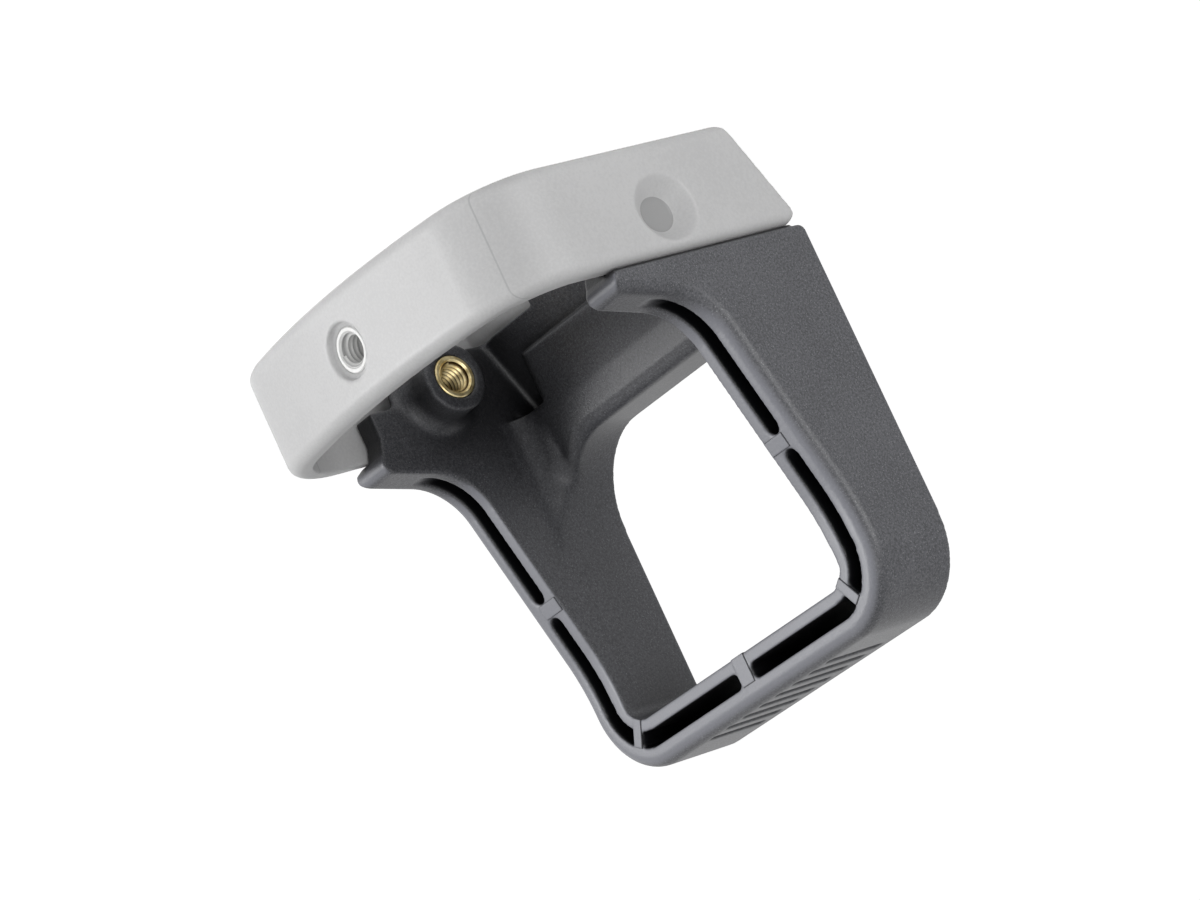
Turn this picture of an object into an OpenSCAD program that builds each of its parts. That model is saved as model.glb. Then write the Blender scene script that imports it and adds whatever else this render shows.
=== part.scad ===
// Battery pull handle: a stirrup-shaped grip that stands on a closed collar and is screwed to it
// Millimetres, Z up, collar's free edge at Z = 0, front towards -Y, left leg towards +X

/* [Handle] */
// width across the outer faces of the legs
handle_width = 70; // [66:1:80]
// height of the whole part
handle_height = 73.6; // [68:0.2:85]
// radius of the two outer top corners
corner_r = 11.5; // [9:0.5:16]
// thickness of the strap in front
strap = 7.5; // [7:0.1:8.5]
// how much thicker each leg gets towards the back
leg_draft = 0.75; // [0.2:0.05:1]
// depth of the grip bar, front to back
grip_depth = 14.3; // [12:0.1:18]
// lean of each leg's front edge
leg_lean = 13.2; // [8:0.2:16]
// radius of the bend where the lean ends
bend_r = 40; // [20:1:50]
// radius of the curve between leg and toe
toe_curve_r = 10; // [6:0.5:12]
// slope of the top of the toe
toe_slope = 14; // [5:1:20]
// reach of the toe from the back face
toe_reach = 35.9; // [33:0.1:38]
// height of the toe's end above the collar
toe_height = 3.2; // [2.5:0.1:4.5]
// radius of the toe's end
toe_round = 1.8; // [1:0.1:2.4]
// radius along the outer front edge
edge_round = 2.2; // [1:0.1:2.6]
// height of the shadow gap above the collar
shadow_gap = 0.6; // [0.3:0.1:1]
// depth of the shadow gap
shadow_depth = 0.8; // [0.4:0.1:1.2]

/* [Groove] */
// wall outside the groove
outer_wall = 3.2; // [2.6:0.1:3.6]
// width of the groove
groove_width = 2.4; // [1.8:0.1:2.8]
// wall left behind the groove
groove_back = 2; // [1.5:0.1:4]
// height where the groove starts in the toe
groove_start = 21.4; // [21:0.1:24]
// middle of the rib in each leg
leg_rib_z = 45.4; // [42:0.1:50]
// length of the rib in each leg
leg_rib = 2.6; // [2:0.1:5]
// length of the rib in the middle of the bar
bar_rib = 3.2; // [2:0.1:6]
// thickness of the rib in each corner
corner_rib = 1.8; // [1.2:0.1:3]
// angle of the corner rib above the horizontal
corner_rib_angle = 58; // [40:1:70]

/* [Crossbar] */
// height of the crossbar's top
crossbar_top = 25; // [24:0.1:28]
// depth of the crossbar's lower face from the back
crossbar_depth = 9.5; // [8.5:0.1:12]
// how far the upper band leans back
band_lean = 0.8; // [0:0.1:2]
// radius of the crossbar's upper front edge
crossbar_round = 1.8; // [0.8:0.1:2.5]
// height where the upper band starts
band_z = 19; // [18:0.1:22]
// radius of the window's lower corners
window_r = 13; // [8:0.5:16]
// radius between the crossbar and each leg
leg_fillet = 3.6; // [1:0.1:4.5]
// half width of the thick web below the crossbar
web_half = 19.5; // [14:0.5:21]
// radius of the web's side edges
web_round = 2.8; // [1:0.1:3.5]
// lower edge of the thick web
web_low = 9.7; // [8:0.1:13]
// top of the pocket beside the web
pocket_top = 17.5; // [16.8:0.1:18]
// thickness of the skirt along the back wall
skirt = 2.2; // [1.6:0.1:2.6]
// lower edge of the skirt at its sides
skirt_low = 5; // [4:0.1:7]
// lower edge of the skirt in its middle
skirt_mid_low = 2.6; // [1.5:0.1:4]
// half width of the skirt's lower middle
skirt_mid_half = 13.5; // [8:0.5:16]

/* [Tongues and bosses] */
// gap between each tongue and the collar
fit_gap = 0.15; // [0.05:0.05:0.4]
// reach of the tongue from the back face
tongue_reach = 34.5; // [32:0.1:34.8]
// lower edge of the tongue
tongue_low = 10.7; // [9:0.1:13]
// radius of the boss
boss_r = 5.3; // [4.6:0.1:6]
// distance of the boss end from the leg's outer face
boss_end = 13.7; // [12:0.1:16]
// radius at the foot of the boss
boss_fillet = 2.6; // [1:0.1:3]
// distance of the screws from the back face
screw_y = 22; // [20:0.1:26]
// height of the side screws
screw_z = 10.2; // [9:0.1:11]
// diameter of the screw clearance hole
screw_hole = 5.7; // [5.2:0.1:6.2]
// outer diameter of the countersink
sink_d = 10.3; // [9:0.1:11]

/* [Inserts] */
// outer diameter of a threaded insert
insert_d = 6.6; // [6.2:0.1:7.2]
// inner diameter of the thread
thread_d = 4.2; // [3.8:0.1:4.6]
// length of an insert in a leg
insert_length = 6.7; // [5:0.1:8]
// chamfer at the mouth of an insert
insert_chamfer = 0.5; // [0.2:0.1:0.8]
// length of the insert in the collar
front_insert_length = 5; // [4:0.1:6]
// diameter of the recess in front of it
front_recess_d = 8.2; // [7.4:0.1:9]
// depth of that recess
front_recess = 1; // [0.4:0.1:1.6]
// height of the front insert
front_z = 8.7; // [7:0.1:10]
// radius of the pad round the front insert
pad_r = 5.2; // [4.6:0.1:6]

/* [Collar] */
// height of the collar
collar_height = 16.6; // [15.6:0.1:17]
// depth of the collar, front to back
collar_depth = 55.6; // [54:0.1:60]
// thickness of its wall
collar_wall = 3.3; // [2.8:0.1:3.6]
// radius of its front corners
collar_corner_r = 14; // [12:0.5:15]
// distance of their middle from the front
corner_set = 16.3; // [16:0.1:17]
// radius of its bowed front
nose_r = 110; // [100:1:115]
// radius of its outer edges
collar_round = 2; // [1:0.1:2.4]
// slant of its back wall
back_slant = 20; // [10:1:24]

/* [Grip marks] */
// number of grooves across the top of the bar
mark_count = 8; // [1:1:11]
// distance from one groove to the next
mark_pitch = 4.2; // [3:0.1:4.6]
// width of a groove
mark_width = 1.6; // [0.8:0.1:2]
// depth of a groove
mark_depth = 0.7; // [0.3:0.1:1]
// length of a groove
mark_length = 10; // [5:0.5:10]

/* [Hidden] */
$fn = 96;
over = 1;
blend = 0.01;
slack = 0.03;
bend_lap = 3;
curve_lap = 4;
half = handle_width / 2;
back = collar_depth / 2;
rim = collar_height;
top_z = handle_height;
corner_x = half - corner_r;
corner_z = top_z - corner_r;
inner_half = half - strap;
tongue_half = half - collar_wall - fit_gap;

// side view of the leg: where the lean, the curve and the toe meet
bend_z = corner_z - bend_r * tan(leg_lean / 2);
toe_z = rim + toe_height;
knee_z = (toe_z + tan(toe_slope) * (toe_reach - grip_depth - tan(leg_lean) * bend_z))
    / (1 - tan(toe_slope) * tan(leg_lean));
knee_y = -grip_depth - tan(leg_lean) * (bend_z - knee_z);
knee_t = toe_curve_r * tan((90 - leg_lean - toe_slope) / 2);
curve_in = [knee_y - knee_t * cos(toe_slope), knee_z - knee_t * sin(toe_slope)];
curve_out = [knee_y + knee_t * sin(leg_lean), knee_z + knee_t * cos(leg_lean)];
curve_mid = curve_in + toe_curve_r * [-sin(toe_slope), cos(toe_slope)];
toe_mid = [-toe_reach + toe_round, toe_z + tan(toe_slope) * toe_round - toe_round / cos(toe_slope)];
toe_top = toe_mid + toe_round * [-sin(toe_slope), cos(toe_slope)];
bend_mid = [-grip_depth - bend_r, corner_z];
bend_low = bend_mid + bend_r * [cos(leg_lean), -sin(leg_lean)];

// collar plan
nose_mid = nose_r - collar_depth;
corner_mid = [half - collar_corner_r, corner_set - collar_depth];
corner_turn = atan2(corner_mid.x, nose_mid - corner_mid.y);
back_wall = collar_wall / cos(back_slant);
slant = tan(back_slant);

// puts the parts, drawn with the back face at Y = 0, over the origin
module placed() {
    translate([0, back, 0]) children();
}

// draws an outline of X and Z and gives it depth from the back face forwards
module deep(depth) {
    rotate([90, 0, 0]) linear_extrude(depth) children();
}

// draws an outline of Y and Z and gives it width on both sides of the middle
module wide(width) {
    rotate([90, 0, 90]) linear_extrude(width, center = true) children();
}

module both_sides() {
    children();
    mirror([1, 0, 0]) children();
}

// arch outline, drawn smaller by inset
module arch(inset) {
    union() {
        translate([-half + inset, 0]) square([handle_width - 2 * inset, corner_z]);
        translate([-corner_x, 0]) square([2 * corner_x, top_z - inset]);
        for (side = [-1, 1]) translate([side * corner_x, corner_z]) circle(corner_r - inset);
    }
}

// what an edge with radius r loses, drawn with the edge at the origin
module edge_loss(r) {
    difference() {
        translate([-over, -over]) square(r - slack + over);
        translate([r - slack, r - slack]) circle(r);
    }
}

// side view of a leg and the bar above the collar
module leg_side() {
    difference() {
        union() {
            polygon([[0, rim], [toe_mid.x, rim], toe_mid, toe_top,
                curve_in, curve_out, bend_low, [-grip_depth, corner_z], [-grip_depth, top_z],
                [0, top_z]]);
            translate(toe_mid) circle(toe_round + blend);
        }
        translate(curve_mid) circle(toe_curve_r + blend);
        translate(bend_mid) circle(bend_r + blend);
        translate([-toe_reach - over, 0]) square([toe_reach + 2 * over, rim]);
    }
}

// room inside the arch: its walls close in a little towards the back
module inside() {
    intersection() {
        translate([0, over, 0]) deep(toe_reach + 3 * over) arch(strap);
        linear_extrude(top_z) polygon([[-inner_half, -toe_reach - 3 * over], [inner_half, -toe_reach - 3 * over],
            [inner_half, -tongue_reach], [inner_half - leg_draft, over], [-inner_half + leg_draft, over],
            [-inner_half, -tongue_reach]]);
    }
}

// the part of that room in front of the crossbar
module front_room() {
    wide(handle_width) polygon([[-toe_reach - 3 * over, -over], [-crossbar_depth, -over],
        [-crossbar_depth, band_z], [-crossbar_depth + band_lean, crossbar_top],
        [-crossbar_depth + band_lean, top_z], [-toe_reach - 3 * over, top_z]]);
}

// window above the crossbar
module window() {
    x = inner_half - leg_draft;
    translate([0, over, 0]) deep(toe_reach) union() {
        translate([-half, crossbar_top + window_r]) square([handle_width, top_z]);
        translate([-x + window_r, crossbar_top]) square([2 * (x - window_r), top_z - crossbar_top]);
        for (side = [-1, 1]) translate([side * (x - window_r), crossbar_top + window_r]) circle(window_r);
    }
}

// rounds the crossbar's upper front edge, round the window's lower corners too
module window_rounding() {
    x = inner_half - leg_draft - window_r;
    y = -crossbar_depth + band_lean;
    translate([-x - over, y, crossbar_top - blend]) rotate([90, 0, 90]) linear_extrude(2 * x + 2 * over)
        mirror([0, 1]) edge_loss(crossbar_round);
    both_sides() translate([x, y, crossbar_top + window_r]) rotate([90, 0, 0]) rotate([0, 0, -90])
        rotate_extrude(angle = 90) translate([window_r, 0]) mirror([0, 1]) edge_loss(crossbar_round);
}

// edge loss along a curve of the leg's side view, between two angles
module round_curve(mid, r, from, to) {
    translate([0, mid.x, mid.y]) rotate([90, 0, 90]) rotate([0, 0, from])
        rotate_extrude(angle = to - from) translate([r, half]) mirror([0, 1]) edge_loss(edge_round);
}

// edge loss along a line of the leg's side view
module round_line(from, to) {
    lean = atan2(to.x - from.x, to.y - from.y);
    translate([half, from.x, from.y]) rotate([-lean, 0, 0]) rotate([0, 0, 90])
        linear_extrude(norm(to - from)) edge_loss(edge_round);
}

// rounds the outer front edge of the bar and the legs
module outer_rounding() {
    translate([-corner_x - over, -grip_depth, top_z - blend]) rotate([90, 0, 90])
        linear_extrude(2 * corner_x + 2 * over) mirror([0, 1]) edge_loss(edge_round);
    both_sides() {
        translate([corner_x, -grip_depth, corner_z]) rotate([90, 0, 0])
            rotate_extrude(angle = 90) translate([corner_r, 0]) rotate(180) edge_loss(edge_round);
        round_curve(bend_mid, bend_r + blend, -leg_lean - bend_lap, bend_lap);
        round_curve(curve_mid, toe_curve_r + blend, toe_slope - 90 - curve_lap, curve_lap - leg_lean);
        round_line(curve_out, bend_low);
        round_line(toe_top - (toe_round + over) * [cos(toe_slope), sin(toe_slope)], curve_in);
    }
}

// groove behind the front edge, with round ends at the ribs of the legs and the bar
module groove() {
    mid = outer_wall + groove_width / 2;
    end_r = groove_width / 2;
    leg_cut = leg_rib + groove_width;
    bar_cut = bar_rib + groove_width;
    translate([0, -groove_back, 0]) deep(toe_reach) {
        difference() {
            intersection() {
                difference() {
                    arch(outer_wall);
                    arch(outer_wall + groove_width);
                }
                translate([-half, groove_start]) square([handle_width, top_z]);
            }
            for (side = [-1, 1]) {
                translate([side * (half - mid), leg_rib_z]) square([groove_width + over, leg_cut], center = true);
                translate([side * corner_x, corner_z]) rotate(side > 0 ? corner_rib_angle : 180 - corner_rib_angle)
                    translate([0, -corner_rib / 2]) square([corner_r, corner_rib]);
            }
            translate([0, top_z - mid]) square([bar_cut, groove_width + over], center = true);
        }
        for (side = [-1, 1]) {
            translate([side * (half - mid), leg_rib_z - leg_cut / 2]) circle(end_r);
            translate([side * (half - mid), leg_rib_z + leg_cut / 2]) circle(end_r);
            translate([side * bar_cut / 2, top_z - mid]) circle(end_r);
        }
    }
}

// distance of the slanted back wall's inner face, at height z
function slanted(z) = -back_wall - fit_gap - (rim - z) * slant;

// skirt and web that go down inside the collar's back wall
module skirt_and_web() {
    low = skirt_mid_low;
    union() {
        difference() {
            wide(2 * tongue_half) polygon([[slanted(low), low], [slanted(rim), rim],
                [slanted(rim), pocket_top + over], [slanted(rim) - skirt, pocket_top + over],
                [slanted(rim) - skirt, rim], [slanted(low) - skirt, low]]);
            both_sides() translate([skirt_mid_half, -half, 0]) cube([half, half, skirt_low]);
        }
        intersection() {
            translate([0, 0, web_low]) linear_extrude(crossbar_top - web_low) {
                translate([-web_half, -crossbar_depth]) square([2 * web_half, crossbar_depth]);
                translate([-web_half - web_round, -crossbar_depth + web_round])
                    square([2 * (web_half + web_round), crossbar_depth - web_round]);
                for (side = [-1, 1]) translate([side * web_half, -crossbar_depth + web_round]) circle(web_round);
            }
            wide(handle_width) polygon([[-crossbar_depth, web_low], [slanted(web_low) - skirt / 2, web_low],
                [slanted(rim) - skirt / 2, rim], [slanted(rim) - skirt / 2, band_z], [-crossbar_depth, band_z]]);
        }
    }
}

// pocket between the web and each leg
module pockets() {
    both_sides() translate([web_half, -toe_reach, rim - over])
        cube([inner_half - leg_draft - web_half, toe_reach + slanted(rim) - skirt, pocket_top - rim + over]);
}

// tongue that goes down inside the collar's side wall, with the boss of its screw
module tongue() {
    difference() {
        translate([inner_half - leg_draft - over, 0, 0]) rotate([90, 0, 90])
            linear_extrude(tongue_half - inner_half + leg_draft + over) tongue_side();
        inside();
    }
    translate([half - boss_end, -screw_y, screw_z]) rotate([0, 90, 0])
        cylinder(h = tongue_half - half + boss_end, r = boss_r);
    boss_foot();
}

// side view of the tongue, cut off along the collar's slanted back wall
module tongue_side() {
    difference() {
        union() {
            translate([-tongue_reach, tongue_low]) square([tongue_reach, rim + over - tongue_low]);
            translate([-screw_y, screw_z - boss_r]) square([screw_y, rim - screw_z + boss_r]);
            translate([-screw_y, screw_z]) circle(boss_r);
            polygon([[-tongue_reach, rim - toe_round], toe_mid - [toe_round, 0], toe_mid,
                [-tongue_reach + over, rim - toe_round]]);
        }
        translate([-skirt / 2, 0]) polygon([[slanted(0), 0], [slanted(rim), rim], [slanted(rim), 2 * rim],
            [half, 2 * rim], [half, 0]]);
    }
}

// concave foot of the boss
module boss_foot() {
    intersection() {
        translate([inner_half - boss_fillet, -screw_y, screw_z]) rotate([0, 90, 0]) difference() {
            cylinder(h = boss_fillet + leg_draft, r = boss_r + boss_fillet);
            rotate_extrude() translate([boss_r + boss_fillet, 0]) circle(boss_fillet);
        }
        translate([0, -toe_reach, screw_z - boss_r]) cube([half, toe_reach, rim]);
    }
}

// screw hole and insert pocket of one leg
module leg_hole() {
    translate([half - boss_end - over, -screw_y, screw_z]) rotate([0, 90, 0])
        cylinder(h = insert_length + over, r = insert_d / 2);
    translate([half - boss_end, -screw_y, screw_z]) rotate([0, 90, 0])
        cylinder(h = boss_end, r = screw_hole / 2);
}

// curve between the crossbar and each leg
module leg_blend() {
    wall_x = inner_half - leg_draft * (1 - crossbar_depth / tongue_reach);
    both_sides() translate([wall_x - leg_fillet, -crossbar_depth - leg_fillet, pocket_top])
        linear_extrude(crossbar_top + window_r - pocket_top) difference() {
            square([leg_fillet + leg_draft, leg_fillet + band_lean]);
            circle(leg_fillet);
        }
}

// dark line between the handle and the collar
module shadow_line() {
    both_sides() translate([half - shadow_depth, -half - over, rim - over])
        cube([shadow_depth + over, half + 2 * over, shadow_gap + over]);
    translate([-half - over, -shadow_depth, rim - over])
        cube([handle_width + 2 * over, shadow_depth + over, shadow_gap + over]);
}

// plain grooves across the top of the bar
module grip_marks() {
    for (i = [0 : mark_count - 1])
        translate([(i - (mark_count - 1) / 2) * mark_pitch - mark_width / 2,
            -grip_depth / 2 - mark_length / 2, top_z - mark_depth])
            cube([mark_width, mark_length, mark_depth + over]);
}

module handle() {
    color("#2b2c30") placed() difference() {
        union() {
            difference() {
                intersection() {
                    deep(toe_reach + over) arch(0);
                    wide(handle_width + over) leg_side();
                }
                outer_rounding();
                intersection() {
                    inside();
                    front_room();
                }
                pockets();
            }
            leg_blend();
            skirt_and_web();
            both_sides() tongue();
        }
        intersection() {
            inside();
            window();
        }
        window_rounding();
        groove();
        both_sides() leg_hole();
        shadow_line();
        grip_marks();
    }
}

// collar outline seen from above, drawn smaller by inset
module collar_plan(inset) {
    union() {
        translate([-half + inset, corner_mid.y]) square([handle_width - 2 * inset, -corner_mid.y]);
        for (side = [-1, 1]) translate([side * corner_mid.x, corner_mid.y]) circle(collar_corner_r - inset);
        intersection() {
            translate([0, nose_mid]) circle(nose_r - inset, $fn = 360);
            nose_wedge();
        }
    }
}

// the stretch of the plan that the bowed front takes
module nose_wedge() {
    x = corner_mid.x + collar_corner_r * sin(corner_turn);
    polygon([[-corner_mid.x, corner_mid.y], corner_mid, [x, -collar_depth - over], [-x, -collar_depth - over]]);
}

// rounds the collar's lower outer edge
module collar_rounding() {
    both_sides() {
        translate([half - blend, over, 0]) rotate([90, 0, 0]) linear_extrude(2 * over - corner_mid.y)
            mirror([1, 0]) edge_loss(collar_round);
        translate([corner_mid.x, corner_mid.y, 0]) rotate([0, 0, corner_turn + over - 90])
            rotate_extrude(angle = 90 - corner_turn - over) translate([collar_corner_r, 0]) mirror([1, 0])
                edge_loss(collar_round);
    }
    translate([0, nose_mid, 0]) rotate([0, 0, -90 - corner_turn - over])
        rotate_extrude(angle = 2 * (corner_turn + over)) translate([nose_r, 0]) mirror([1, 0])
            edge_loss(collar_round);
}

// half space behind the collar's slanted back wall, moved forwards by inset
module behind(inset) {
    translate([0, -inset, 0]) wide(handle_width + 2 * over) polygon([[over * slant, rim + over],
        [half, rim + over], [half, -over], [-(rim + over) * slant, -over]]);
}

module collar() {
    color("#c4c5c7") placed() difference() {
        union() {
            difference() {
                linear_extrude(rim) collar_plan(0);
                collar_rounding();
                translate([0, 0, rim]) mirror([0, 0, 1]) collar_rounding();
                behind(0);
                difference() {
                    translate([0, 0, -over]) linear_extrude(rim + 2 * over) collar_plan(collar_wall);
                    behind(back_wall);
                }
            }
            translate([0, -collar_depth + collar_wall / 2, front_z]) rotate([-90, 0, 0])
                cylinder(h = front_recess + front_insert_length - collar_wall / 2, r = pad_r);
        }
        both_sides() translate([half, -screw_y, screw_z]) rotate([0, -90, 0]) {
            translate([0, 0, -over]) cylinder(h = collar_wall + 2 * over, r = screw_hole / 2);
            cylinder(h = (sink_d - screw_hole) / 2, r1 = sink_d / 2, r2 = screw_hole / 2);
        }
        translate([0, -collar_depth, front_z]) rotate([-90, 0, 0]) {
            translate([0, 0, -over]) cylinder(h = front_recess + over, r = front_recess_d / 2);
            cylinder(h = front_recess + front_insert_length + over, r = insert_d / 2);
        }
    }
}

// threaded insert, its mouth at the origin and its body along Z
module insert(length) {
    difference() {
        cylinder(h = length, r = insert_d / 2);
        translate([0, 0, -over]) cylinder(h = length + 2 * over, r = thread_d / 2);
        cylinder(h = insert_chamfer, r1 = thread_d / 2 + insert_chamfer, r2 = thread_d / 2);
        translate([0, 0, length - insert_chamfer])
            cylinder(h = insert_chamfer, r1 = thread_d / 2, r2 = thread_d / 2 + insert_chamfer);
    }
}

module insert_left() {
    color("#c9a24a") placed() translate([half - boss_end, -screw_y, screw_z]) rotate([0, 90, 0])
        insert(insert_length);
}

module insert_right() {
    color("#c9a24a") placed() mirror([1, 0, 0]) translate([half - boss_end, -screw_y, screw_z])
        rotate([0, 90, 0]) insert(insert_length);
}

module collar_insert() {
    color("#d8d8d4") placed() translate([0, -collar_depth + front_recess, front_z]) rotate([-90, 0, 0])
        insert(front_insert_length);
}

handle();
collar();
insert_left();
insert_right();
collar_insert();
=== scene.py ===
import bpy
import bmesh
import math
import numpy as np
from mathutils import Matrix, Vector
from mathutils.bvhtree import BVHTree


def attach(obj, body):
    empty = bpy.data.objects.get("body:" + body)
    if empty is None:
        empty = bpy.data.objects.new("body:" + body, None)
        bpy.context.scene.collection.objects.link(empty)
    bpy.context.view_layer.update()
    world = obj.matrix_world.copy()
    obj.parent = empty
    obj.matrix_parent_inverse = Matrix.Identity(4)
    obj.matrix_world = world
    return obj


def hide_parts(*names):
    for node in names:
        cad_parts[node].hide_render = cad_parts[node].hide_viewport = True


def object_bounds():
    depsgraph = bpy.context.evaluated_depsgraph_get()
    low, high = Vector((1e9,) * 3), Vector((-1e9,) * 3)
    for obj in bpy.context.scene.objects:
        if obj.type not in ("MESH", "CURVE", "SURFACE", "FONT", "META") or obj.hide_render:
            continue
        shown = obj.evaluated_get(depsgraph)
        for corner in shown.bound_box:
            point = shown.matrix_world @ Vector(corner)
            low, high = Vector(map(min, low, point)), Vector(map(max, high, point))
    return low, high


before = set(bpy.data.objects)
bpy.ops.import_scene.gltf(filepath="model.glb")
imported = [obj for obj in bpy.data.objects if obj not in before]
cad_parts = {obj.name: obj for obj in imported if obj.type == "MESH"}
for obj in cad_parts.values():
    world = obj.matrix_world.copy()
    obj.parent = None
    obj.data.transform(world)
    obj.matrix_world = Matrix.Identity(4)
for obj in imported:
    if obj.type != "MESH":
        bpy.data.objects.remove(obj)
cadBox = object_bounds()
scene = bpy.context.scene
mm = 0.001
perMetre = 1000  # the mouldings are shaped in millimetres

# places that a finish and a piece share
backY = 27.8  # back face of handle and collar, in millimetres as the two below
screwY, screwZ = backY - 22, 10.2  # axis of the leg screws
frontZ = 8.7  # height of the front insert's axis
print("frame loaded")


# shader maths as Python expressions: one class for a socket, one for a finish
class Socket:
    def __init__(self, finish, link):
        self.finish, self.link = finish, link

    def math(self, operation, *terms):
        return self.finish.node("ShaderNodeMath", {"operation": operation}, dict(enumerate(terms)))

    def __add__(self, other): return self.math("ADD", self, other)
    def __radd__(self, other): return self.math("ADD", other, self)
    def __sub__(self, other): return self.math("SUBTRACT", self, other)
    def __rsub__(self, other): return self.math("SUBTRACT", other, self)
    def __mul__(self, other): return self.math("MULTIPLY", self, other)
    def __rmul__(self, other): return self.math("MULTIPLY", other, self)
    def __lt__(self, other): return self.math("LESS_THAN", self, other)
    def __gt__(self, other): return self.math("GREATER_THAN", self, other)
    def __abs__(self): return self.math("ABSOLUTE", self)
    def larger(self, other): return self.math("MAXIMUM", self, other)
    def squareRoot(self): return self.math("SQRT", self)


class Finish:
    def __init__(self, name, world=None):  # a new material, or the nodes of a world
        self.owner = world or bpy.data.materials.new(name)
        self.owner.use_nodes = True
        self.tree = self.owner.node_tree
        self.tree.nodes.clear()

    def node(self, kind, settings=None, sockets=None, out=0):
        n = self.tree.nodes.new(kind)
        for key, value in (settings or {}).items():
            setattr(n, key, value)
        for key, value in (sockets or {}).items():
            if isinstance(value, Socket):
                self.tree.links.new(value.link, n.inputs[key])
            else:
                n.inputs[key].default_value = value
        return Socket(self, n.outputs[out] if n.outputs else None)

    def mix(self, factor, a, b):  # colours
        return self.node("ShaderNodeMix", {"data_type": "RGBA"}, {0: factor, 6: a, 7: b}, out=2)

    def place(self):
        return self.node("ShaderNodeTexCoord", out="Object")

    def split(self, vector):  # its x, y and z
        first = self.node("ShaderNodeSeparateXYZ", None, {0: vector})
        return [Socket(self, out) for out in first.link.node.outputs]

    def noise(self, place, size, detail=2.0, roughness=0.5):
        return self.node("ShaderNodeTexNoise", None,
                         {"Vector": place, "Scale": 1 / size, "Detail": detail, "Roughness": roughness})

    def band(self, value, low, high):  # 0 below low, 1 above high
        return self.node("ShaderNodeMapRange", {"interpolation_type": "SMOOTHSTEP"},
                         {0: value, 1: low, 2: high, 3: 0.0, 4: 1.0})

    def softEdge(self, radius):  # normal that rounds sharp edges off
        return self.node("ShaderNodeBevel", {"samples": 6}, {"Radius": radius})

    def bump(self, height, strength, distance, normal=None):
        sockets = {"Height": height, "Strength": strength, "Distance": distance}
        if normal:
            sockets["Normal"] = normal
        return self.node("ShaderNodeBump", None, sockets)

    def close(self, sockets):
        skin = self.node("ShaderNodeBsdfPrincipled", None, sockets)
        self.node("ShaderNodeOutputMaterial", None, {"Surface": skin})
        return self.owner


def rgb(r, g, b):
    return (r, g, b, 1.0)


# charcoal moulding of the handle
handleLook = {
    "dark": rgb(0.054, 0.055, 0.061),
    "light": rgb(0.112, 0.114, 0.125),
    # painted glint colour of the light specks in the grain
    "speckGlint": rgb(0.30, 0.303, 0.322),
    "rim": rgb(0.25, 0.255, 0.285),  # painted highlight on faces of the rim that look forwards
    "recess": rgb(0.003, 0.003, 0.004),  # painted shade deep in grooves and corners, set by ambient occlusion
    "gap": rgb(0.004, 0.004, 0.005),  # painted shade in the step between leg and collar
    "grain": 0.34 * mm,
    "speck": 0.187 * mm,
    "patch": 9 * mm,
    "patchShare": 0.15,
    "speckGlintShare": 0.6,
    "rimHighlightShare": 0.8,
    "rimRear": 15 * mm,
    "rimLow": 17 * mm,
    "gapSide": 30.5 * mm,
    "gapLow": 15.5 * mm,
    "gapHigh": 17.05 * mm,
    "openReach": 40 * mm,
    "edge": 0.35 * mm,
    "grainDepth": 0.05 * mm,
    "roughness": 0.31,
    "sheen": 0.42,
}


def makeHandlePlastic():
    look = handleLook
    f = Finish("charcoalPlastic")
    place = f.place()
    x, y, z = f.split(place)
    grain = f.noise(place, look["grain"], 3.0, 0.6)
    speck = f.noise(place, look["speck"], 1.0)
    patch = f.noise(place, look["patch"], 3.0)
    mottle = f.band(grain * (1 - look["patchShare"]) + patch * look["patchShare"], 0.36, 0.64)
    colour = f.mix(mottle, look["dark"], look["light"])
    # painted glints: light specks scattered over the grain
    colour = f.mix(f.band(speck, 0.60, 0.74) * look["speckGlintShare"], colour, look["speckGlint"])
    facing = f.split(f.node("ShaderNodeNewGeometry", out="Normal"))[1]
    # painted highlight: faces that look forwards, ahead of rimRear and above rimLow, get the lighter rim colour
    # as if lit
    rim = f.band(0.0 - facing, 0.55, 0.92) * (y < look["rimRear"]) * (z > look["rimLow"])
    colour = f.mix(rim * look["rimHighlightShare"], colour, look["rim"])
    # painted shade: colour goes to the dark shade colour where ambient occlusion finds the surface closed in
    openness = f.node("ShaderNodeAmbientOcclusion", {"samples": 8}, {"Distance": look["openReach"]}, out="AO")
    colour = f.mix(f.band(openness, 0.35, 1.0), look["recess"], colour)
    # painted shade along the step between leg and collar, on the outer sides of the legs
    gap = (abs(x) > look["gapSide"]) * (z > look["gapLow"]) * (z < look["gapHigh"])
    colour = f.mix(gap, colour, look["gap"])
    rough = look["roughness"] + 0.10 * grain + 0.06 * patch
    normal = f.bump(grain, 0.7, look["grainDepth"], f.softEdge(look["edge"]))
    return f.close({"Base Color": colour, "Roughness": rough, "Normal": normal,
                    "Specular IOR Level": look["sheen"]})


# light grey moulding of the collar
collarLook = {
    "base": rgb(0.575, 0.575, 0.578),
    "pale": rgb(0.620, 0.620, 0.622),
    "line": rgb(0.40, 0.405, 0.41),  # mould line at the front corners
    # painted shade: grey of the discs that stand for the shaded depth of the side holes
    "holeShade": rgb(0.36, 0.36, 0.362),
    "grain": 0.4 * mm,
    "patch": 14 * mm,
    "patchShare": 0.4,
    "seamX": 30.2 * mm,
    "seamWidth": 0.09 * mm,
    "seamFront": -12 * mm,
    "seamShare": 0.55,
    "holeReach": 4 * mm,
    "shadeDiscFrom": 31.9 * mm,
    "shadeDiscTo": 32.6 * mm,
    "edge": 0.4 * mm,
    "grainDepth": 0.02 * mm,
    "roughness": 0.42,
    "throughShare": 0.35,  # light that passes through the plastic
    "throughDepth": 4 * mm,
}


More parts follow.
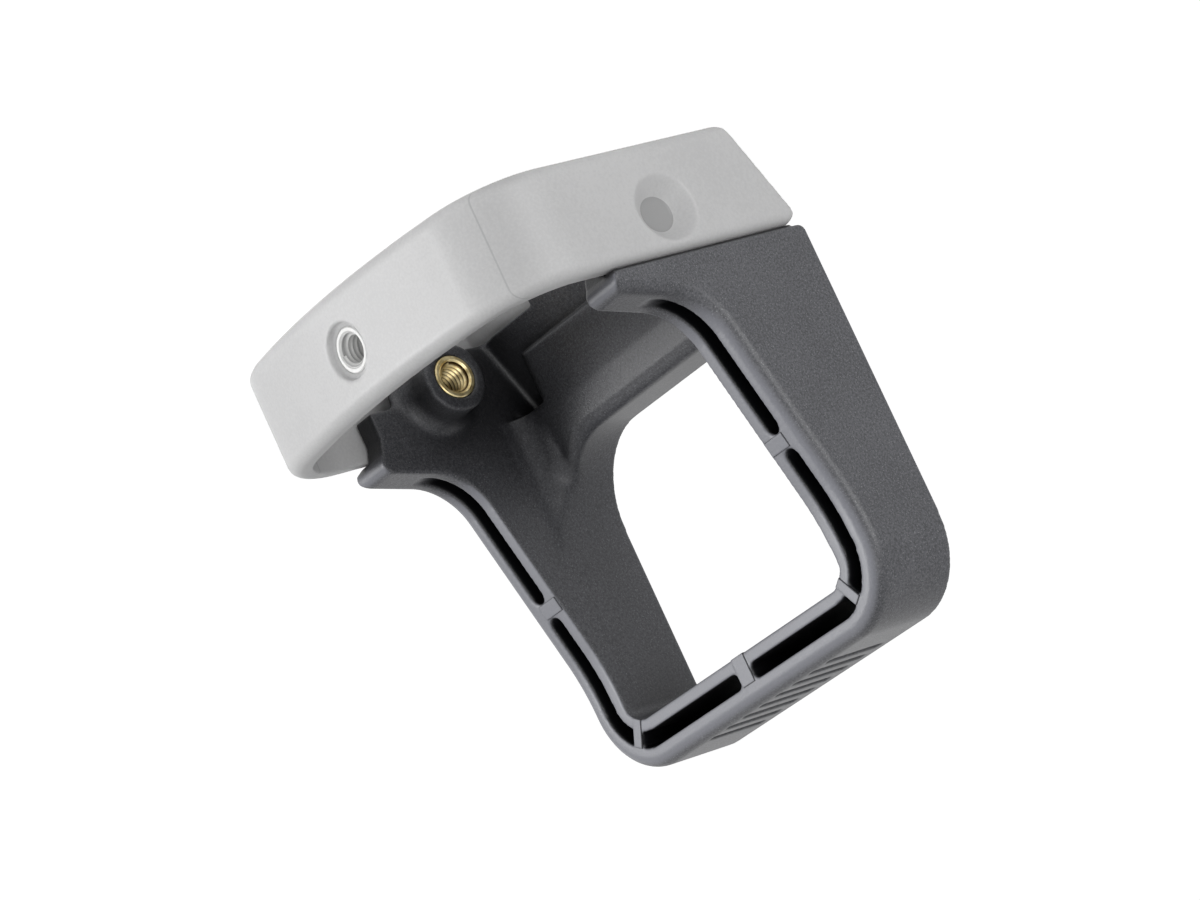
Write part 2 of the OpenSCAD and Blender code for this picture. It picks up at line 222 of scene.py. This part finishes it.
def makeCollarPlastic():
    look = collarLook
    f = Finish("greyPlastic")
    place = f.place()
    x, y, z = f.split(place)
    grain = f.noise(place, look["grain"], 2.0)
    patch = f.noise(place, look["patch"], 2.0)
    mottle = f.band(patch * look["patchShare"] + grain * (1 - look["patchShare"]), 0.36, 0.64)
    colour = f.mix(mottle, look["base"], look["pale"])
    seam = (abs(abs(x) - look["seamX"]) < look["seamWidth"]) * (y < look["seamFront"])
    colour = f.mix(seam * look["seamShare"], colour, look["line"])
    # painted shade on the discs in the side holes
    nearHole = (abs(y - screwY * mm) < look["holeReach"]) * (abs(z - screwZ * mm) < look["holeReach"])
    inShadeDisc = (abs(x) > look["shadeDiscFrom"]) * (abs(x) < look["shadeDiscTo"])
    colour = f.mix(nearHole * inShadeDisc, colour, look["holeShade"])
    rough = look["roughness"] + 0.10 * grain
    normal = f.bump(grain - seam * 2.0, 0.25, look["grainDepth"], f.softEdge(look["edge"]))
    return f.close({"Base Color": colour, "Roughness": rough, "Normal": normal,
                    "Subsurface Weight": look["throughShare"], "Subsurface Radius": (1.0, 1.0, 1.0),
                    "Subsurface Scale": look["throughDepth"]})


# machined metal of the inserts, darker between the ridges of the thread
brassLook = {"deep": rgb(0.62, 0.48, 0.22), "bright": rgb(0.86, 0.73, 0.42), "root": rgb(0.09, 0.055, 0.02),
             "metallic": 0.85, "roughness": 0.27}
platedLook = {"deep": rgb(0.74, 0.74, 0.73), "bright": rgb(0.82, 0.82, 0.81), "root": rgb(0.52, 0.52, 0.52),
              "metallic": 0.1, "roughness": 0.45}
metalSizes = {"rootFrom": 2.12 * mm, "rootFull": 2.34 * mm, "rootTo": 2.44 * mm,
              "wear": 1.1 * mm, "fine": 0.12 * mm, "fineDepth": 0.01 * mm}


def makeMetal(name, look, across, centre):  # across: the two directions square to the thread
    sizes = metalSizes
    f = Finish(name)
    place = f.place()
    a, b = [f.split(place)[axis] - middle * mm for axis, middle in zip(across, centre)]
    radius = (a * a + b * b).squareRoot()
    root = f.band(radius, sizes["rootFrom"], sizes["rootFull"]) * (radius < sizes["rootTo"])
    wear = f.noise(place, sizes["wear"], 4.0, 0.65)
    fine = f.noise(place, sizes["fine"], 1.0)
    colour = f.mix(f.band(wear, 0.35, 0.65), look["deep"], look["bright"])
    colour = f.mix(root, colour, look["root"])
    rough = look["roughness"] + 0.16 * wear
    normal = f.bump(fine, 0.3, sizes["fineDepth"])
    return f.close({"Base Color": colour, "Metallic": look["metallic"], "Roughness": rough, "Normal": normal})


handlePlastic = makeHandlePlastic()
collarPlastic = makeCollarPlastic()
brass = makeMetal("brass", brassLook, (1, 2), (screwY, screwZ))
plated = makeMetal("platedMetal", platedLook, (0, 2), (0, frontZ))
print("finishes ready")


def linked(name, data):
    thing = bpy.data.objects.new(name, data)
    scene.collection.objects.link(thing)
    return thing


def addPiece(name, mesh, material, nodes=()):
    mesh.materials.clear()
    mesh.materials.append(material)
    piece = linked(name, mesh)
    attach(piece, "root")
    if nodes:
        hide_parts(*nodes)
    return piece


def asMesh(name, bm):
    mesh = bpy.data.meshes.new(name)
    bm.to_mesh(mesh)
    bm.free()
    return mesh


def evaluated(piece):  # a plain mesh of the piece with its modifiers
    mesh = bpy.data.meshes.new_from_object(piece.evaluated_get(bpy.context.evaluated_depsgraph_get()))
    bpy.data.objects.remove(piece)
    return mesh


def smoothByAngle(mesh, degrees=30):
    bm = bmesh.new()
    bm.from_mesh(mesh)
    for face in bm.faces:
        face.smooth = True
    for edge in bm.edges:
        if len(edge.link_faces) == 2:
            edge.smooth = edge.calc_face_angle(0) < math.radians(degrees)
    bm.to_mesh(mesh)
    bm.free()


# a CAD node's shape as a moulding, all in millimetres
mouldSizes = {"weld": 0.002, "cell": 0.25, "rounds": 4.0, "inset": 0.004}


def average(mesh, points, rounds):  # draws each point to the middle of its neighbours, as often as rounds says
    ends = np.empty(len(mesh.edges) * 2, dtype=np.int64)
    mesh.edges.foreach_get("vertices", ends)
    a, b = ends.reshape(-1, 2).T
    total = len(points)
    count = np.bincount(a, minlength=total) + np.bincount(b, minlength=total)
    for k in range(int(rounds.max())):
        sums = [np.bincount(a, p[b], total) + np.bincount(b, p[a], total) for p in points.T]
        share = 0.5 * np.clip(rounds - k, 0, 1)[:, None]
        points += share * (np.stack(sums, 1) / count[:, None] - points)


# even small faces, corners eased by averaging, single edges rounded, then flat areas thinned out
def moulded(node, triangles, addSolids, roundEdges, moreRounds=None):
    sizes = mouldSizes
    bm = bmesh.new()
    bm.from_mesh(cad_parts[node].data)
    bmesh.ops.remove_doubles(bm, verts=bm.verts, dist=sizes["weld"] * mm)
    bmesh.ops.scale(bm, vec=[perMetre] * 3, verts=bm.verts)
    addSolids(bm)
    piece = linked("temp", asMesh(node + "Copy", bm))
    cells = piece.modifiers.new("cells", "REMESH")
    cells.mode, cells.voxel_size, cells.adaptivity = "VOXEL", sizes["cell"], 0.0
    mesh = evaluated(piece)
    points = np.empty(len(mesh.vertices) * 3)
    mesh.vertices.foreach_get("co", points)
    points = points.reshape(-1, 3)
    rounds = np.full(len(points), sizes["rounds"])
    if moreRounds:
        rounds += moreRounds(*points.T)
    average(mesh, points, rounds)
    roundEdges(points)
    low, high = [np.array(corner) * perMetre for corner in cadBox]
    points = np.clip(points, low + sizes["inset"], high - sizes["inset"]) / perMetre
    mesh.vertices.foreach_set("co", points.ravel())
    mesh.update()
    piece = linked("temp", mesh)
    thin = piece.modifiers.new("thin", "DECIMATE")
    thin.ratio = min(1.0, triangles / (2 * len(mesh.polygons)))
    mesh = evaluated(piece)
    for face in mesh.polygons:
        face.use_smooth = True
    print(node, "moulded with", len(mesh.polygons), "faces")
    return mesh


# where the handle takes more rounds of averaging: how many, how far they are full, over what they
# fade, and the line from a to b, with x counted from the middle on both sides
handleEase = {
    "lines": (
        (90, 1.5, 2.4, (24.5, 19, 29), (27, 19.3, 38)),  # crossbar into leg, where the window rounding runs out
        (36, 1.4, 3.2, (24, 18.3, 21), (27.3, 16.2, 33)),
        (28, 1.3, 2.2, (27.4, 17.6, 4.9), (27.4, 22.3, 15.4)),  # back edge of the tongue beside the pocket
    ),
    "foot": {"rounds": 16, "full": 1.3, "fade": 3, "radius": 6.6, "x": 27, "flat": 0.9},  # foot of the boss
}


def nearLine(p, a, b):  # distance of each point from the line a to b
    a, b = np.array(a), np.array(b)
    t = np.clip((p - a) @ (b - a) / ((b - a) @ (b - a)), 0, 1)
    return np.linalg.norm(p - a - t[:, None] * (b - a), axis=1)


def moreOnHandle(x, y, z):
    p = np.stack([abs(x), y, z], 1)
    rounds = np.zeros_like(x)
    for extra, full, fade, a, b in handleEase["lines"]:
        rounds += extra * np.clip(full - nearLine(p, a, b) / fade, 0, 1)
    foot = handleEase["foot"]
    ring = np.hypot(y - screwY, z - screwZ) - foot["radius"]
    away = np.hypot(ring, (abs(x) - foot["x"]) * foot["flat"])
    return rounds + foot["rounds"] * np.clip(foot["full"] - away / foot["fade"], 0, 1)


# leg's inner face along the run-out, which the window rounding cuts too deep: heights and depths of it
runOut = {"front": 18.0, "rear": 20.9, "inside": 30.5, "fillet": 24.8,
          "face": ((29.2, 23.5), (30, 24.15), (31, 24.85), (32, 25.42), (33, 25.88), (34, 26.24), (35, 26.5),
                   (36, 26.7), (37, 26.82), (38, 26.95), (38.6, 27.1))}


def fillRunOut(bm):
    r = runOut
    for side in (1, -1):
        rings = []
        for z, x in r["face"]:
            corners = ((max(x, r["fillet"]), r["front"]), (x, r["rear"]),
                       (r["inside"], r["rear"]), (r["inside"], r["front"]))
            rings.append([bm.verts.new((side * a, b, z)) for a, b in corners])
        faces = [bm.faces.new(rings[0]), bm.faces.new(rings[-1])]
        for a, b in zip(rings, rings[1:]):
            faces += [bm.faces.new((a[i], a[(i + 1) % 4], b[(i + 1) % 4], b[i])) for i in range(4)]
        bmesh.ops.recalc_face_normals(bm, faces=faces)


shoulder = {"radius": 1.5, "z": 17.2, "outside": 31.7}  # outer end of each leg, above the collar


def roundShoulder(points):
    radius = shoulder["radius"]
    y, z = backY - radius, shoulder["z"] + radius
    dy, dz = points[:, 1] - y, points[:, 2] - z
    length = np.hypot(dy, dz)
    out = (dy > 0) & (dz < 0) & (length > radius) & (abs(points[:, 0]) > shoulder["outside"])
    pull = radius / length[out]
    points[out, 1], points[out, 2] = y + dy[out] * pull, z + dz[out] * pull


# thin grey discs in the side holes, sheets that stand for the shaded depth of each hole (painted shade), and
# the slanted back wall with its rounded ends
collarShape = {"shadeDiscRadius": 3.2, "shadeDiscFrom": 32.0, "shadeDiscDepth": 0.45, "shadeDiscSides": 48,
               "slant": math.radians(20), "height": 16.6, "lowRound": 2.6, "topRound": 1.6}


def addHoleShadeDiscs(bm):
    c = collarShape
    for side in (1, -1):
        turn = (Matrix.Translation((side * (c["shadeDiscFrom"] + c["shadeDiscDepth"] / 2), screwY, screwZ))
                @ Matrix.Rotation(math.pi / 2, 4, "Y"))
        bmesh.ops.create_cone(bm, cap_ends=True, segments=c["shadeDiscSides"], radius1=c["shadeDiscRadius"],
                              radius2=c["shadeDiscRadius"], depth=c["shadeDiscDepth"], matrix=turn)


def roundSlant(points):
    c = collarShape
    sine, cosine = math.sin(c["slant"]), math.cos(c["slant"])
    for radius, low in ((c["lowRound"], True), (c["topRound"], False)):
        z = radius if low else c["height"] - radius
        y = backY + ((z - c["height"]) * sine - radius) / cosine
        dy, dz = points[:, 1] - y, points[:, 2] - z
        along = (-dy * sine - dz * cosine) if low else (dy * sine + dz * cosine)
        length = np.hypot(dy, dz)
        out = (dy > 0) & (along > 0) & (length > radius) & (points[:, 1] > 0)
        pull = radius / length[out]
        points[out, 1], points[out, 2] = y + dy[out] * pull, z + dz[out] * pull


handleMesh = moulded("handle", 150000, fillRunOut, roundShoulder, moreOnHandle)
handle = addPiece("handleMoulding", handleMesh, handlePlastic, ["handle"])
collarMesh = moulded("collar", 70000, addHoleShadeDiscs, roundSlant)
addPiece("collarRing", collarMesh, collarPlastic, ["collar"])
print("mouldings ready")


# pads of the mould inserts on the rim beside each rib of the groove: x, z, angle, length and width
padSizes = {"proud": 0.13, "sunk": 0.5, "edge": 0.07, "ahead": -60,
            "pads": ((29.5, 45.4, 0, 4.2, 2.3), (26.75, 67.3, 58, 4.4, 1.7), (0.0, 68.3, 90, 4.4, 3.0))}


def addPads():
    p = padSizes
    tree = BVHTree.FromObject(handle, bpy.context.evaluated_depsgraph_get())
    high = p["proud"] + p["sunk"]
    bm = bmesh.new()
    for x, z, angle, long, wide in p["pads"]:
        for side in ((1, -1) if x else (1,)):
            place, normal, _, _ = tree.ray_cast(Vector((side * x, p["ahead"], z)) * mm, Vector((0, 1, 0)))
            turn = math.radians(angle)
            along = Vector((side * math.cos(turn), 0, math.sin(turn)))
            along = (along - normal * along.dot(normal)).normalized()
            lie = Matrix((along, normal.cross(along), normal)).transposed().to_4x4()
            centre = Matrix.Translation(place + normal * (p["proud"] - high / 2) * mm)
            size = Matrix.Diagonal((long * mm, wide * mm, high * mm, 1))
            made = bmesh.ops.create_cube(bm, size=1, matrix=centre @ lie @ size)
            edges = {edge for v in made["verts"] for edge in v.link_edges}
            bmesh.ops.bevel(bm, geom=list(edges), offset=p["edge"] * mm, segments=2, affect="EDGES")
    mesh = asMesh("ribPads", bm)
    smoothByAngle(mesh)
    addPiece("ribPads", mesh, handlePlastic)


addPads()
print("rib pads ready")


# thread of the inserts, swept along a helix by Geometry Nodes
threadSizes = {"pitch": 0.8 * mm, "ridge": 0.40 * mm, "radius": 2.4 * mm, "steps": 48}


def threadTree():
    tree = bpy.data.node_groups.new("thread", "GeometryNodeTree")
    face = tree.interface
    face.new_socket("Geometry", in_out="INPUT", socket_type="NodeSocketGeometry")
    for name in ("Turns", "Length", "Radius", "Ridge"):
        face.new_socket(name, in_out="INPUT", socket_type="NodeSocketFloat")
    face.new_socket("Metal", in_out="INPUT", socket_type="NodeSocketMaterial")
    face.new_socket("Geometry", in_out="OUTPUT", socket_type="NodeSocketGeometry")
    new, link = tree.nodes.new, tree.links.new
    given, result = new("NodeGroupInput"), new("NodeGroupOutput")
    helix = new("GeometryNodeCurveSpiral")
    helix.inputs["Resolution"].default_value = threadSizes["steps"]
    link(given.outputs["Turns"], helix.inputs["Rotations"])
    link(given.outputs["Radius"], helix.inputs["Start Radius"])
    link(given.outputs["Radius"], helix.inputs["End Radius"])
    link(given.outputs["Length"], helix.inputs["Height"])
    upright = new("GeometryNodeSetCurveNormal")  # turns a ridge's edge towards the axis
    upright.mode = "Z_UP"
    link(helix.outputs[0], upright.inputs["Curve"])
    ridge = new("GeometryNodeCurvePrimitiveCircle")
    ridge.inputs["Resolution"].default_value = 4
    link(given.outputs["Ridge"], ridge.inputs["Radius"])
    sweep = new("GeometryNodeCurveToMesh")
    sweep.inputs["Fill Caps"].default_value = True
    link(upright.outputs[0], sweep.inputs["Curve"])
    link(ridge.outputs[0], sweep.inputs["Profile Curve"])
    real, paint = new("GeometryNodeRealizeInstances"), new("GeometryNodeSetMaterial")
    link(sweep.outputs[0], real.inputs[0])
    link(real.outputs[0], paint.inputs["Geometry"])
    link(given.outputs["Metal"], paint.inputs["Material"])
    link(paint.outputs[0], result.inputs[0])
    return tree


threads = threadTree()


def sweptThread(length, material):
    temp = linked("temp", bpy.data.meshes.new("empty"))
    thread = temp.modifiers.new("thread", "NODES")
    thread.node_group = threads
    values = {"Turns": length / threadSizes["pitch"], "Length": length, "Radius": threadSizes["radius"],
              "Ridge": threadSizes["ridge"], "Metal": material}
    for item in threads.interface.items_tree:
        if item.in_out == "INPUT" and item.name in values:
            thread[item.identifier] = values[item.name]
    return evaluated(temp)


# turned body of the inserts
insertSizes = {"outer": 3.3 * mm, "bore": 2.42 * mm, "mouth": 2.72 * mm, "chamfer": 0.3 * mm, "rim": 0.15 * mm,
               "floor": 0.5 * mm, "axis": 0.01 * mm, "sides": 72,
               "legX": 21.3 * mm, "legLength": 6.7 * mm, "frontY": -26.8 * mm, "frontLength": 5 * mm}


def lathe(bm, profile, sides):  # closed profile of (radius, height) about Z
    turns = [2 * math.pi * i / sides for i in range(sides)]
    rings = [[bm.verts.new((radius * math.cos(a), radius * math.sin(a), height)) for a in turns]
             for radius, height in profile]
    for k in range(len(rings)):
        a, b = rings[k - 1], rings[k]
        for i in range(sides):
            bm.faces.new((a[i - 1], a[i], b[i], b[i - 1]))


def addInsert(name, node, place, length, material, closed=False):
    s = insertSizes
    bm = bmesh.new()
    end = [(s["mouth"], length), (s["bore"], length - s["chamfer"])]
    if closed:
        end = [(s["axis"], length), (s["axis"], length - s["floor"]), (s["bore"], length - s["floor"])]
    start = [(s["mouth"], 0), (s["outer"] - s["rim"], 0), (s["outer"], s["rim"]), (s["outer"], length)]
    lathe(bm, start + end + [(s["bore"], s["chamfer"])], s["sides"])
    helix = sweptThread(length - 2 * threadSizes["ridge"], material)
    helix.transform(Matrix.Translation((0, 0, threadSizes["ridge"])))
    bm.from_mesh(helix)
    bmesh.ops.recalc_face_normals(bm, faces=bm.faces)
    mesh = asMesh(name, bm)
    mesh.transform(place)
    smoothByAngle(mesh)
    addPiece(name, mesh, material, [node])


for side, word in ((1, "Left"), (-1, "Right")):
    node = "insert_" + word.lower()
    place = Matrix.Translation((side * insertSizes["legX"], screwY * mm, screwZ * mm))
    turn = Matrix.Rotation(side * math.pi / 2, 4, "Y")
    addInsert("insert" + word, node, place @ turn, insertSizes["legLength"], brass)
place = Matrix.Translation((0, insertSizes["frontY"], frontZ * mm))
turn = Matrix.Rotation(-math.pi / 2, 4, "X")
addInsert("collarInsert", "collar_insert", place @ turn, insertSizes["frontLength"], plated,
          closed=True)
print("inserts ready")


# studio: white floor and background, soft light from low lamps, so that the collar shades the inner faces
studio = {
    "world": 0.24,
    "floorSize": 12,
    "floorDrop": 0.1 * mm,
    "floorColour": 0.8,
    "floorGlow": 0.84,
    "aim": (0, 0, 0.04),
    "lamps": {  # place, width in metres, power
        "key": ((0.56, -0.82, -0.06), 0.38, 6.3),
        "side": ((-1.0, 0.0, -0.06), 0.5, 4.1),
        "fill": ((-0.80, -0.60, 0.50), 0.5, 2.0),
    },
}


def seenDirectly(f):  # 1 for camera, glossy and transmission rays
    camera, glossy, through = [f.node("ShaderNodeLightPath", out="Is %s Ray" % kind)
                               for kind in ("Camera", "Glossy", "Transmission")]
    return camera.larger(glossy).larger(through)


def makeFloor():
    f = Finish("paleFloor")
    diffuse = f.node("ShaderNodeBsdfDiffuse", None, {"Color": rgb(*[studio["floorColour"]] * 3)})
    glow = f.node("ShaderNodeEmission", None, {"Color": rgb(1, 1, 1), "Strength": studio["floorGlow"]})
    nothing = f.node("ShaderNodeEmission", None, {"Strength": 0.0})
    lit = f.node("ShaderNodeMixShader", None, {0: seenDirectly(f), 1: nothing, 2: glow})
    both = f.node("ShaderNodeAddShader", None, {0: diffuse, 1: lit})
    f.node("ShaderNodeOutputMaterial", None, {"Surface": both})
    half = studio["floorSize"] / 2
    corners = [(-half, -half, 0), (half, -half, 0), (half, half, 0), (-half, half, 0)]
    mesh = bpy.data.meshes.new("floor")
    mesh.from_pydata(corners, [], [(0, 1, 2, 3)])
    mesh.materials.append(f.owner)
    floor = linked("floor", mesh)
    floor.location.z = -studio["floorDrop"]
    floor.visible_shadow = False  # lets the low lamps through


def makeWorld():
    scene.world = bpy.data.worlds.new("studio")
    f = Finish("studio", scene.world)
    soft = f.node("ShaderNodeBackground", None, {"Color": rgb(1, 1, 1), "Strength": studio["world"]})
    white = f.node("ShaderNodeBackground", None, {"Color": rgb(1, 1, 1), "Strength": 1.0})
    mixed = f.node("ShaderNodeMixShader", None, {0: seenDirectly(f), 1: soft, 2: white})
    f.node("ShaderNodeOutputWorld", None, {"Surface": mixed})


def addLamps():
    for name, (place, size, power) in studio["lamps"].items():
        data = bpy.data.lights.new(name, "AREA")
        data.size, data.energy = size, power
        data.cycles.use_multiple_importance_sampling = False  # keeps the lamps out of reflections
        lamp = linked(name, data)
        lamp.location = place
        lamp.rotation_euler = (Vector(studio["aim"]) - Vector(place)).to_track_quat("-Z", "Y").to_euler()


makeFloor()
makeWorld()
addLamps()
print("studio ready")


# camera at the photograph's angle, which shows the part upside down
cameraSizes = {"place": (-580.36 * mm, -491.45 * mm, 176.71 * mm), "lens": 165.71, "sensor": 36,
               "right": (-0.5318976, 0.7396490, 0.4123158), "up": (-0.4013949, 0.2085109, -0.8918550),
               "back": (-0.7456320, -0.6398770, 0.1859849), "near": 0.01, "far": 10}


def addCamera():
    sizes = cameraSizes
    data = bpy.data.cameras.new("photoCamera")
    data.lens, data.sensor_width, data.sensor_fit = sizes["lens"], sizes["sensor"], "HORIZONTAL"
    data.clip_start, data.clip_end = sizes["near"], sizes["far"]
    camera = linked("photoCamera", data)
    turned = Matrix([sizes["right"], sizes["up"], sizes["back"]]).transposed().to_4x4()
    camera.matrix_world = Matrix.Translation(sizes["place"]) @ turned
    bpy.context.scene.camera = camera


addCamera()
scene.view_settings.view_transform = "Standard"
print("camera ready")
